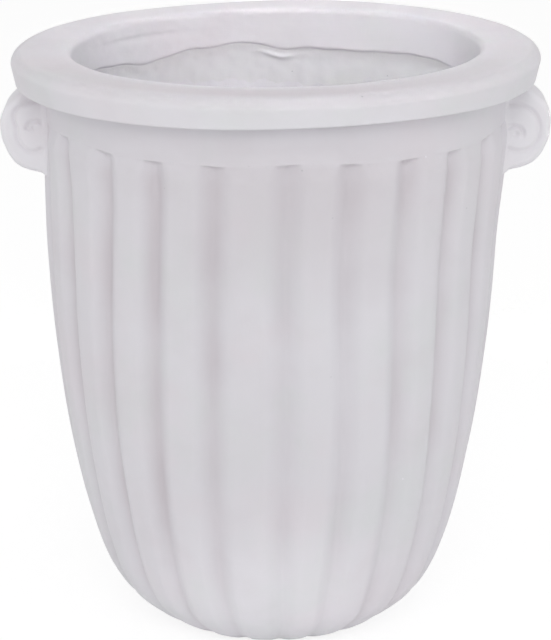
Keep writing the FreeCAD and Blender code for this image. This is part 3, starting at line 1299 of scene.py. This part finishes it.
@dataclass(frozen=True)
class PlainFinish:
    """A rod or rubber finish with a fine drawn or moulded grain."""

    name: str
    base: Colour
    metallic: float
    roughness: float
    stretch: tuple[float, float, float]
    grain_scale: float = 300.0
    worn_tone: float = 1.35
    roughness_spread: float = 0.1
    bump: float = 0.1
    bump_height: float = 0.3 * MM

    def build(self) -> bpy.types.Material:
        """Makes the material.

        Returns:
            The material.
        """
        material, graph, shader = new_material(self.name)
        place = graph.add("ShaderNodeTexCoord").outputs["Object"]
        drawn = graph.add("ShaderNodeVectorMath", {"operation": "MULTIPLY"})
        graph.feed(drawn.inputs[0], place)
        drawn.inputs[1].default_value = self.stretch
        grain = graph.noise(drawn.outputs[0], self.grain_scale, detail=5.0, roughness=0.5)
        worn = graph.between(grain, 0.4, 0.75, 0.0, 0.6)
        colour = graph.blend(worn, self.base, toned(self.base, self.worn_tone))
        rough = graph.between(grain, 0.2, 0.8, self.roughness - self.roughness_spread,
                              self.roughness + self.roughness_spread)
        bump = graph.add("ShaderNodeBump", Strength=self.bump, Distance=self.bump_height, Height=grain)
        graph.fill(shader, Base_Color=colour, Roughness=rough, Normal=bump.outputs[0],
                   Metallic=self.metallic)
        return material


@dataclass(frozen=True)
class SoftBox:
    """A large soft lamp, set by its bearing from the pot's front and its elevation."""

    name: str
    bearing_deg: float
    elevation_deg: float
    power: float
    size: float = 2.2
    distance: float = 3.0
    aim: tuple[float, float, float] = (0.0, 0.0, 0.3)
    spread_deg: float = 180.0

    def build(self) -> None:
        """Hangs the lamp and turns it to the pot."""
        lamp = bpy.data.lights.new(self.name, "AREA")
        lamp.shape = "DISK"
        lamp.energy = self.power
        lamp.size = self.size
        lamp.spread = math.radians(self.spread_deg)
        holder = linked(self.name, lamp)
        bearing, rise = math.radians(self.bearing_deg), math.radians(self.elevation_deg)
        level = math.cos(rise)
        way = Vector((math.sin(bearing) * level, -math.cos(bearing) * level, math.sin(rise)))
        holder.location = Vector(self.aim) + self.distance * way
        holder.rotation_euler = (-way).to_track_quat("-Z", "Y").to_euler()


@dataclass
class Studio:
    """The white floor, soft light and camera."""

    camera_distance: float = 2.42
    camera_height: float = 0.9688
    camera_aside: float = 2.0 * MM
    camera_tilt: float = 0.2848
    sensor_height: float = 24.0
    focal_pixels: float = 2954.57
    picture_height: float = 640.0
    floor_size: float = 14.0
    floor_drop: float = 0.2 * MM
    floor_albedo: float = 0.95
    floor_shade: float = 0.3
    floor_glow: float = 0.8
    world_level: float = 0.54
    boxes: tuple[SoftBox, ...] = (
        SoftBox("front_box", 0, 28, 17.5, size=1.2), SoftBox("top_box", 0, 72, 4.6),
        SoftBox("left_box", -80, 20, 7.4), SoftBox("right_box", 80, 20, 9.6),
        SoftBox("foot_fill", 0, 8, 0.02, size=0.25, distance=1.2, aim=(0.0, 0.0, -0.035), spread_deg=8),
        SoftBox("inside_fill_left", 18, 42, 0.08, size=0.2, aim=(-0.085, 0.12, 0.46), spread_deg=8),
        SoftBox("inside_fill_right", -18, 42, 0.09, size=0.2, aim=(0.1, 0.1, 0.46), spread_deg=8))

    def build(self) -> None:
        """Makes the floor, the world, the lamps and the camera."""
        self.floor()
        self.world()
        for box in self.boxes:
            box.build()
        self.camera()
        bpy.context.scene.view_settings.view_transform = "Standard"

    def seen_directly(self, graph: Graph) -> bpy.types.NodeSocket:
        """Masks the rays that show the background: from the camera, a mirror or glass.

        Args:
            graph: the tree that the mask is for.

        Returns:
            The mask's socket.
        """
        path = graph.add("ShaderNodeLightPath")
        mirror = graph.maths("MAXIMUM", path.outputs["Is Glossy Ray"], path.outputs["Is Transmission Ray"])
        return graph.maths("MAXIMUM", path.outputs["Is Camera Ray"], mirror)

    def floor(self) -> None:
        """Lays the floor, white to the eye with a faint shadow."""
        half = self.floor_size / 2
        mesh = bpy.data.meshes.new("studio_floor")
        corners = [(-half, -half, 0), (half, -half, 0), (half, half, 0), (-half, half, 0)]
        mesh.from_pydata(corners, [], [(0, 1, 2, 3)])
        floor = linked("studio_floor", mesh)
        floor.location.z = -self.floor_drop
        material, graph, shader = new_material("studio_white")
        material.node_tree.nodes.remove(shader)
        bounce = graph.add("ShaderNodeBsdfDiffuse", Color=(self.floor_albedo,) * 3 + (1.0,))
        shade = graph.add("ShaderNodeBsdfDiffuse", Color=(self.floor_shade,) * 3 + (1.0,))
        glow = graph.add("ShaderNodeEmission", Color=(1.0, 1.0, 1.0, 1.0), Strength=self.floor_glow)
        seen = graph.add("ShaderNodeAddShader")
        graph.feed(seen.inputs[0], shade.outputs[0])
        graph.feed(seen.inputs[1], glow.outputs[0])
        mixed = graph.add("ShaderNodeMixShader", Fac=self.seen_directly(graph))
        graph.feed(mixed.inputs[1], bounce.outputs[0])
        graph.feed(mixed.inputs[2], seen.outputs[0])
        graph.feed(material.node_tree.nodes["Material Output"].inputs["Surface"], mixed.outputs[0])
        mesh.materials.append(material)

    def world(self) -> None:
        """Sets an even white surround, seen as pure white."""
        world = bpy.data.worlds.new("studio_surround")
        bpy.context.scene.world = world
        world.use_nodes = True
        graph = Graph(world.node_tree)
        level = graph.between(self.seen_directly(graph), 0.0, 1.0, self.world_level, 1.0)
        back = world.node_tree.nodes["Background"]
        back.inputs["Color"].default_value = (1.0, 1.0, 1.0, 1.0)
        graph.feed(back.inputs["Strength"], level)

    def camera(self) -> None:
        """Stands the camera where the photograph was taken from."""
        lens = bpy.data.cameras.new("photo_camera")
        lens.sensor_fit = "VERTICAL"
        lens.sensor_height = self.sensor_height
        lens.lens = self.sensor_height * self.focal_pixels / self.picture_height
        camera = linked("photo_camera", lens)
        camera.location = (self.camera_aside, -self.camera_distance, self.camera_height)
        camera.rotation_euler = (math.pi / 2 - self.camera_tilt, 0, 0)
        bpy.context.scene.camera = camera


def place(piece: bpy.types.Object, rider: Rider, slot: Slot, finish: bpy.types.Material,
          *nodes: str) -> None:
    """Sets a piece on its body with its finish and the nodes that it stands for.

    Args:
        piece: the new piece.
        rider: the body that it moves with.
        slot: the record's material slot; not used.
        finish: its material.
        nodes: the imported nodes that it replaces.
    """
    piece.data.materials.append(finish)
    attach(piece, rider.value)
    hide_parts(*nodes)
    log.info("%s: %d faces on %s", piece.name, len(piece.data.polygons), rider.value)


def main() -> None:
    """Builds the studio, the finishes and every piece of the pot."""
    logging.basicConfig(level=logging.INFO)
    Studio().build()
    mottle, grain = mottle_group(), grain_group()
    stone = CastFinish("white_cast_stone", base=(0.791, 0.775, 0.815, 1), warm=(0.797, 0.754, 0.795, 1),
                       cool=(0.757, 0.77, 0.782, 1)).build(mottle, grain)
    # A lighter copy of the stone for the ears: painted light, making up for the shade that the rim casts on
    # them.
    lightened_ear_stone = CastFinish("ear_stone_painted_lighter", base=(0.87, 0.857, 0.89, 1), warm=(0.872, 0.837, 0.875, 1),
                           cool=(0.825, 0.837, 0.835, 1)).build(mottle, grain)
    mortar = CastFinish("bedding_mortar", base=(0.842, 0.841, 0.863, 1), warm=(0.843, 0.82, 0.85, 1),
                        cool=(0.815, 0.828, 0.822, 1), grain_scale=260.0, pit_scale=120.0, pit_size=0.12,
                        pit_share=0.12, roughness=0.75, bump=0.3).build(mottle, grain)
    steel = PlainFinish("dowel_steel", base=(0.52, 0.52, 0.54, 1), metallic=1.0, roughness=0.35,
                        stretch=(0.05, 1.0, 1.0)).build()
    rubber = PlainFinish("plug_rubber", base=(0.03, 0.03, 0.033, 1), metallic=0.0, roughness=0.6,
                         stretch=(1.0, 1.0, 1.0)).build()
    place(FlutedBody().build(), Rider.POT, Slot.CAST_STONE, stone, "fluted_body")
    rim = RimRing()
    place(rim.build(), Rider.POT, Slot.CAST_STONE, stone, "rim_ring")
    place(RimBed().build(rim), Rider.POT, Slot.BEDDING, mortar, "rim_bed")
    for ear in ears():
        place(ear.build(), Rider.POT, Slot.CAST_STONE, lightened_ear_stone, f"{ear.side.name.lower()}_scroll")
    place(DrainPlug().build(), Rider.PLUG, Slot.RUBBER, rubber, "drain_plug")
    for name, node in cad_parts.items():
        if name.endswith("_scroll_bed"):
            node.material_slots[0].material = mortar
        if "_dowel_" in name:
            node.material_slots[0].material = steel


if __name__ == "__main__":
    main()
